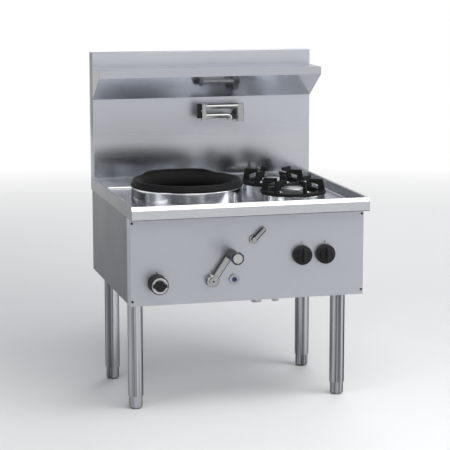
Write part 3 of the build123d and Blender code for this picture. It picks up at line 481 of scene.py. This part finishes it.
low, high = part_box("wok_collar")
wok_centre = ((low.x + high.x) / 2, (low.y + high.y) / 2)
collar_wall, collar_lip = 0.003, 0.012
collar = spun_wall((high.x - low.x) / 2, low.z, high.z, collar_wall, collar_lip)
sharp_edges(skin(
    "wok_collar_spun", spun(collar, 256, wok_centre), bright, "body", "polished_steel",
    "wok_collar",
))
low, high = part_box("burner_drums")
drum_x, drum_radius = (low.x + high.x) / 2, (high.x - low.x) / 2
drum_wall, drum_lip = 0.002, 0.021
drum = spun_wall(drum_radius, low.z, high.z, drum_wall, drum_lip)

# The two meshes together take the place of the one node that holds both drums.
for place, y, replaced in (
    ("front", low.y + drum_radius, ["burner_drums"]), ("rear", high.y - drum_radius, []),
):
    sharp_edges(skin(
        "burner_drum_" + place, spun(drum, 192, (drum_x, y)), bright, "body",
        "polished_steel", *replaced,
    ))


# ---- Cast iron ----
# The wok ring, the trivets and the wok burner are sand castings with a blacked surface. The
# ring and trivets stand loose on their collars. Inside its seat the ring is painted darker
# and is duller: painted shade in the hollow.
def cast_iron(name, centre=(0.0, 0.0), shade_reach=0.0):
    """Blacked casting. Within a given reach of the upright line at centre it is painted darker
    and is duller: painted shade.
    """
    iron = Finish(name, specular_ior_level=0.15)
    sand = iron.noise(iron.place(), 900.0, detail=4.0, rough=0.6)
    blotch = iron.noise(iron.place(), 30.0, detail=3.0)
    colour = iron.blend(blotch, (0.006, 0.006, 0.0065), (0.012, 0.012, 0.0125))
    rough = iron.span(blotch, 0.3, 0.7, 0.5, 0.66)
    if shade_reach:
        away = iron.place(scale=(1, 1, 0), shift=(-centre[0], -centre[1], 0.0))
        in_shade = iron.span(iron.length(away), shade_reach - 0.030, shade_reach + 0.004, 1.0, 0.0)
        colour = iron.blend(in_shade, colour, (0.0015, 0.0015, 0.0016))
        rough = rough + in_shade * 0.34
    iron.set("Base Color", colour)
    iron.set("Roughness", rough)
    iron.bump(sand * 0.7 + blotch * 0.3, 0.0003, 0.6)
    return iron


# Inside this reach of the wok's centre the ring is painted darker: painted shade in its seat.
seat_shade_reach = 0.178
dress(cast_iron("blacked_iron"), "trivet_front", "trivet_rear", "wok_burner")
dress(cast_iron("ring_iron", wok_centre, seat_shade_reach), "wok_ring")

# ---- Burner heads ----
# The side burners' bodies and caps are cast in light alloy, and the caps are turned on top.
# The bodies stand on the floors of their bowls, and the caps lie loose on them.
alloy = Finish("cast_alloy", metallic=1.0)
fine = alloy.noise(alloy.place(), 700.0, detail=3.0)
alloy.set("Base Color", alloy.blend(fine, (0.60, 0.60, 0.59), (0.70, 0.70, 0.69)))
alloy.set("Roughness", alloy.span(fine, 0.3, 0.7, 0.26, 0.36))
alloy.bump(fine, 0.00006, 0.4)
dress(alloy, "burner_bodies", "burner_cap_front", "burner_cap_rear")

# ---- Tap and levers ----
# The tap, both levers and their flanges are brass, machined and bright plated. The tap is
# fixed through the splashback, and each lever on a spindle that comes out of the front panel.
# Colour of the painted reflection on the levers' bevels.
painted_reflection_tone = (0.05, 0.052, 0.055)
soft_edge = 0.0006


def plated(name, joint=None, edge=0.0, start=0.0):
    """Bright plate. With the joint of a lever, whose first limit is upright, the sides of its
    flat arm are painted dark, a painted reflection of the dim room in their bevels: further than
    edge from the arm's middle line, and further along that line than start from the joint."""
    plate = Finish(name, metallic=1.0, specular_tint=(0.3, 0.3, 0.3))
    breath = plate.noise(plate.place(), 40.0)
    colour = plate.blend(breath, (0.32, 0.325, 0.325), (0.39, 0.395, 0.395))
    if joint:
        pin = joint["pos_m"]
        lean = math.radians(-joint["range_deg"][0])
        where = plate.place(shift=(-pin[0], 0.0, -pin[2]))
        x, z = plate.part(where, 0), plate.part(where, 2)
        aside = abs(x * math.cos(lean) - z * math.sin(lean))
        along = x * math.sin(lean) + z * math.cos(lean)
        # The arm's sides are painted dark: a painted reflection.
        dark = plate.span(aside, edge - soft_edge, edge + soft_edge, 0.0, 1.0)
        dark = dark * plate.span(along, start - soft_edge, start + soft_edge, 0.0, 1.0)
        colour = plate.blend(dark, colour, painted_reflection_tone)
    plate.set("Base Color", colour)
    plate.set("Roughness", plate.span(breath, 0.3, 0.7, 0.05, 0.12))
    return plate


joints = {joint["name"]: joint for joint in frame["joints"]}
knee_edge, knee_start = 0.0098, 0.018
water_edge, water_start = 0.0056, 0.004
dress(
    plated("chrome_plate"), "tap_body", "tap_upper_arm", "tap_lower_arm", "lever_flange",
    "lever_handle", "water_flange",
)
dress(
    plated("knee_lever_plate", joints["knee_lever_swing"], knee_edge, knee_start), "knee_lever"
)
dress(
    plated("water_lever_plate", joints["water_lever_turn"], water_edge, water_start),
    "water_lever",
)


def seat(node):
    """Middle of a node's back face, its half width and its depth outwards."""
    low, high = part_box(node)
    middle = ((low.x + high.x) / 2, high.y, (low.z + high.z) / 2)
    return middle, (high.x - low.x) / 2, high.y - low.y


def turned_disc(name, node, edge, light):
    """Bright turned face of a node, with a dark rim beyond the edge radius about its middle."""
    face = Finish(name, metallic=1.0)
    centre = seat(node)[0]
    radius = face.length(face.place(scale=(1, 0, 1), shift=(-centre[0], 0.0, -centre[2])))
    lathe = face.noise(face.place(), 500.0, detail=2.0)
    deep = tuple(0.88 * part for part in light)
    rim = face.span(radius, edge - 0.0007, edge + 0.0007, 0.0, 1.0)
    face.set("Base Color", face.blend(rim, face.blend(lathe, deep, light), (0.05, 0.052, 0.058)))
    face.set("Roughness", face.span(lathe, 0.3, 0.7, 0.20, 0.30))
    dress(face, node)


turned_disc("cap_disc", "lever_handle_cap", 0.0175, (0.50, 0.505, 0.50))

# ---- Igniter ----
# A blue moulded button slides in a bright bezel and barrel, turned in one piece and held in
# a hole of the front panel. A spring inside pushes the button out.
dress(
    satin_sheet("bezel_steel", (300.0, 300.0, 300.0), tone=(0.36, 0.37, 0.39), rough=0.3),
    "igniter_body",
)
dress(
    mottled("blue_button", 300.0, (0.006, 0.009, 0.065), (0.009, 0.014, 0.10), roughness=0.3),
    "igniter_button",
)

# ---- Side burner knobs ----
# Each knob is one black moulding with a fine spark-eroded texture: a wide skirt with a ribbed
# edge, and a crowned boss with an upright finger ridge. It is pushed on to its spindle. The
# tap's paddle is moulded in the same black.
black = Finish("black_moulding", specular_ior_level=0.2)
grainy = black.noise(black.place(), 1500.0, detail=2.0)
worn = black.noise(black.place(), 60.0)
black.set("Base Color", black.blend(worn, (0.007, 0.007, 0.0075), (0.013, 0.013, 0.014)))
black.set("Roughness", black.span(worn, 0.3, 0.7, 0.40, 0.52))
black.bump(grainy, 0.00008, 0.4)
dress(black, "side_knob_left", "side_knob_right", "wok_knob", "wok_knob_grip", "tap_paddle")


def turned(profile, columns, centre, ripple):
    """Surface turned about a line along Y: each radius and distance out of the profile
    becomes the ring x = radius cos a, y = -out, z = radius sin a. Ripple adds to the radius
    by the profile's point and the angle."""
    angle = around(columns)
    radius = profile[:, :1] + ripple(profile, angle)
    out = np.repeat(profile[:, 1:], columns, axis=1)
    return np.stack(
        [centre[0] + radius * np.cos(angle), centre[1] - out, centre[2] + radius * np.sin(angle)],
        axis=-1,
    )


# The skirt's front edge and the crown are depths. The shoulder, where the skirt dips inwards,
# and the boss's foot and brow are radius and depth pairs.
skirt_depth, crown_depth = 0.0182, 0.0322
shoulder, boss_foot, boss_brow = (0.0315, 0.0196), (0.0262, 0.0212), (0.0235, 0.0305)
rib_count, rib_cut, rib_start, rib_fade = 40, 0.0005, 0.0335, 0.003
ridge_root, ridge_half_length, ridge_half_width = 0.0188, 0.029, 0.0074
length_taper, width_taper = 0.0018, 0.0022
crown_start, crown_share, fullness = 0.72, 0.22, 3.2


def ribs(profile, angle):
    """Shallow ribs, cut / 2 * (1 - cos(count a)) deep, that fade out inside the skirt's edge."""
    edge = np.clip((profile[:, :1] - rib_start) / rib_fade, 0.0, 1.0)
    return -rib_cut / 2 * edge * (1.0 - np.cos(rib_count * angle))


def finger_ridge(centre, depth):
    """A stack of rounded oblongs, |x / half width|^3.2 + |z / half length|^3.2 = 1. Both
    halves taper with the height t, from 0 to 1. Over the crown u goes from 0 to 1, the width
    closes as sqrt(1 - u^2.4), and the length draws in with it to the crown's share."""
    t = np.linspace(0.0, 1.0, 13)[:, None]
    angle = around(96)
    u = np.clip((t - crown_start) / (1.0 - crown_start), 0.0, 1.0)
    close = np.sqrt(1.0 - u ** 2.4)
    half_long = ridge_half_length - length_taper * t
    half_long = half_long * (crown_share + (1.0 - crown_share) * close)
    half_wide = (ridge_half_width - width_taper * t) * close
    half_long[-1] = 0.0
    sideways = np.sign(np.cos(angle)) * np.abs(np.cos(angle)) ** (2.0 / fullness)
    upwards = np.sign(np.sin(angle)) * np.abs(np.sin(angle)) ** (2.0 / fullness)
    out = ridge_root + (depth - ridge_root) * t
    return np.stack(
        [centre[0] + half_wide * sideways, centre[1] - out + 0.0 * angle,
         centre[2] + half_long * upwards],
        axis=-1,
    )


for side in ("left", "right"):
    knob = "side_knob_" + side
    centre, reach, depth = seat(knob)
    outline = rounded(
        [(0.0, 0.0), (reach, 0.0), (reach, skirt_depth), shoulder, boss_foot, boss_brow,
         (0.0, crown_depth)],
        [0.0006, 0.0012, 0.0030, 0.0040, 0.0016],
    )
    sharp_edges(skin(
        "knob_base_" + side, turned(outline, 240, centre, ribs), black, knob, "black_plastic",
        knob,
    ))
    skin("knob_ridge_" + side, finger_ridge(centre, depth), black, knob, "black_plastic")

# ---- Wok knob ----
# A deep black moulding with a ribbed side carries a bright turned disc and a dark finger
# grip, which is a round boss with a wing to each side. It is pushed on to its spindle.
turned_disc("knob_disc", "wok_knob_face", 0.0298, (0.50, 0.505, 0.52))
centre, reach, depth = seat("wok_knob")
rim_depth, side_depth, side_radius = 0.010, 0.0115, reach - 0.0008
flute_count, flute_cut, flute_start, flute_radius = 60, 0.0006, 0.0112, 0.03
outline = rounded(
    [(0.0, 0.0), (reach, 0.0), (reach, rim_depth), (side_radius, side_depth),
     (side_radius, depth), (0.0, depth)],
    [0.0008, 0.0005, 0.0005, 0.0005],
)


def flutes(profile, angle):
    """Fine ribs on the body's side, cut / 2 * (1 - cos(count a)) deep, in front of the rim."""
    side = ((profile[:, 1:] > flute_start) & (profile[:, :1] > flute_radius)).astype(float)
    return -flute_cut / 2 * side * (1.0 - np.cos(flute_count * angle))


sharp_edges(skin(
    "wok_knob_body", turned(outline, 360, centre, flutes), black, "wok_knob", "black_plastic",
    "wok_knob",
))

# The grip is one surface over a round outline with two wings. From its foot to its middle the
# outline rises and draws in round the edge, and the low bar exp(-(z / width)^2) runs across
# its top from wing to wing.
grip_centre, _, grip_depth = seat("wok_knob_grip")
angle = around(180)
rise = np.array([0.0, 0.72, 0.88, 0.97, 1.0, 1.0, 1.0])[:, None]
draw_in = np.array([0.0, 0.0, 0.0004, 0.0013, 0.0030, 0.0200, 0.0200])[:, None]
boss, wing_long, wing_wide = 0.0208, 0.0262, 0.0062
bar_width, bar_share, top = 0.0030, 0.14, rise > 0.9
wing = np.minimum(
    wing_long / np.abs(np.cos(angle) + 1e-9), wing_wide / np.abs(np.sin(angle) + 1e-9)
)
outline = np.maximum(boss, np.minimum(wing, wing_long)) - draw_in
outline[-1] = 0.0
bar = np.exp(-(np.sin(angle) * outline / bar_width) ** 2)
out = grip_depth * rise * (1.0 - bar_share + bar_share * bar * top)
grip = np.stack(
    [grip_centre[0] + outline * np.cos(angle), grip_centre[1] - out,
     grip_centre[2] + outline * np.sin(angle)],
    axis=-1,
)
skin("wok_grip_moulding", grip, black, "wok_knob", "black_plastic", "wok_knob_grip")

# ---- Printed index marks ----
# A small dark mark is printed on the panel above the wok knob, the knee lever and each side
# knob. Each is a thin flat drop of ink: an ellipse (half width cos a, half height sin a).
ink = mottled("panel_ink", 800.0, (0.03, 0.03, 0.04), (0.06, 0.06, 0.07), roughness=0.5)
panel_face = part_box("front_panel")[0].y
ink_height = 0.00012
angle = around(32)
swell = np.array([0.0, 1.0, 1.0, 0.0])[:, None]
lift = np.array([ink_height, ink_height, 0.0, 0.0])[:, None]
for number, (joint, above, half_wide, half_high) in enumerate((
    ("wok_knob_turn", 0.0395, 0.0022, 0.0030), ("knee_lever_swing", 0.0350, 0.0022, 0.0022),
    ("side_knob_left_turn", 0.0465, 0.0020, 0.0034),
    ("side_knob_right_turn", 0.0465, 0.0020, 0.0034),
), 1):
    pin = joints[joint]["pos_m"]
    drop = np.stack(
        [pin[0] + half_wide * swell * np.cos(angle), panel_face - lift + 0.0 * angle,
         pin[2] + above + half_high * swell * np.sin(angle)],
        axis=-1,
    )
    skin("index_mark_%d" % number, drop, ink, "body", "black_plastic")

# ---- Pipework ----
# Valves and jets are machined brass. The pipes and spindles are drawn steel, and the pipes
# are bent to shape and held in the valves' unions.
brass = Finish("machined_brass", metallic=1.0)
tooling = brass.noise(brass.place(scale=(60.0, 60.0, 700.0)), 1.0)
brass.set("Base Color", brass.blend(tooling, (0.55, 0.40, 0.19), (0.68, 0.52, 0.27)))
brass.set("Roughness", brass.span(tooling, 0.3, 0.7, 0.25, 0.38))
dress(brass, "gas_valves", "gas_jets", "water_valve", "wok_pilot")
dress(
    satin_sheet("drawn_pipe", (200.0, 200.0, 8.0), tone=(0.40, 0.405, 0.41), rough=0.34),
    "gas_manifold", "gas_inlet_pipe", "gas_pipes", "water_inlet", "tap_pipe", "lever_shaft",
    "wok_spindle", "side_spindle_left", "side_spindle_right", "water_spindle",
)
